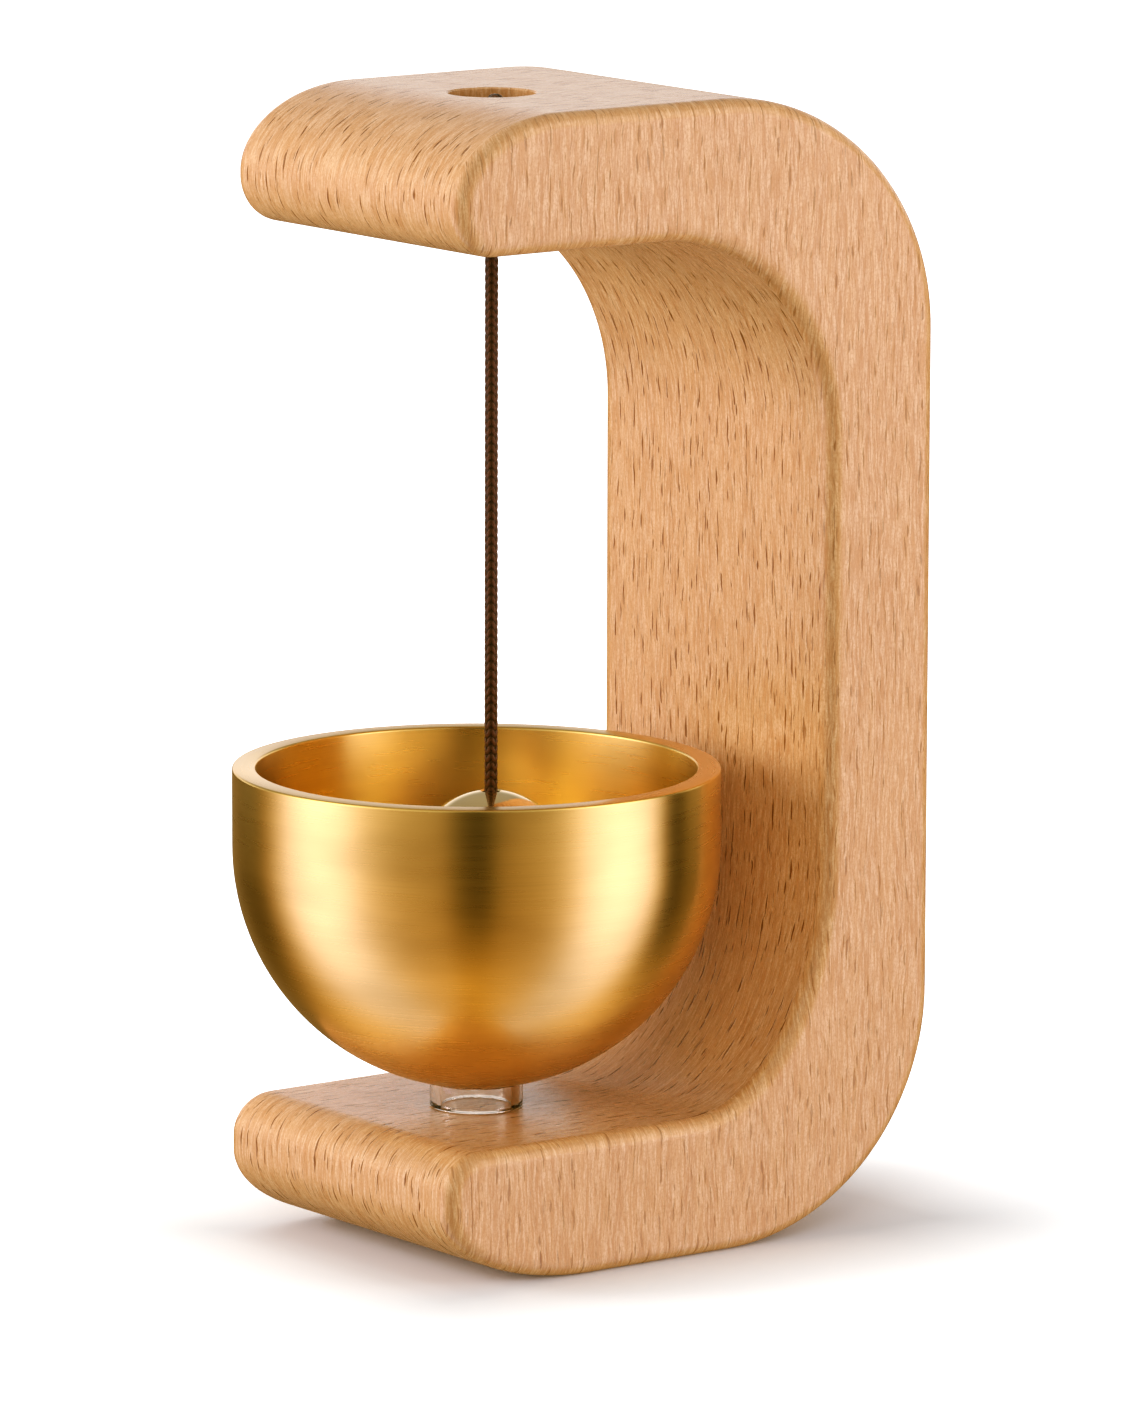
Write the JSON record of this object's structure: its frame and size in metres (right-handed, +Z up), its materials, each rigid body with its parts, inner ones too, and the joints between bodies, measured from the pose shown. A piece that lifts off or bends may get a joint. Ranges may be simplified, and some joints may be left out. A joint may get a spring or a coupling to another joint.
{
  "type": "shopkeeper bell",
  "caption": "C-shaped beech frame with an open brass bowl bell on a clear ring and a brass ball clapper hanging inside it on a braided cord.",
  "frame": {"origin": "bottom centre of the bell's box, on the surface that the frame stands on", "axes": "+Z up along the spine, +Y towards the spine's back face, open side and bowl towards -Y, +X across the frame's width"},
  "size_m": [0.06, 0.083, 0.1425],
  "materials": {
    "beech": "steamed beech with a thin satin lacquer",
    "brass_satin": "turned and satin brushed around the axis",
    "brass_polished": "polished",
    "clear_plastic": "clear, gloss",
    "cord": "braided dark brown cord, lightly waxed"
  },
  "bodies": {
    "frame": {"wood_frame": "beech", "bell_bowl": "brass_satin", "bowl_ring": "clear_plastic"},
    "cord_head": {"upper_knot": "cord", "cord_neck": "cord"},
    "clapper": {"clapper_cord": "cord", "clapper_ball": "brass_polished", "lower_knot": "cord"}
  },
  "joints": [
    {"name": "clapper_turn", "type": "hinge", "parent": "frame", "child": "cord_head", "pos_m": [0, -0.00935, 0.1258], "axis": [0, 0, 1], "continuous": true},
    {"name": "clapper_swing", "type": "hinge", "parent": "cord_head", "child": "clapper", "pos_m": [0, -0.00935, 0.1258], "axis": [1, 0, 0], "range_deg": [-10, 10]}
  ]
}
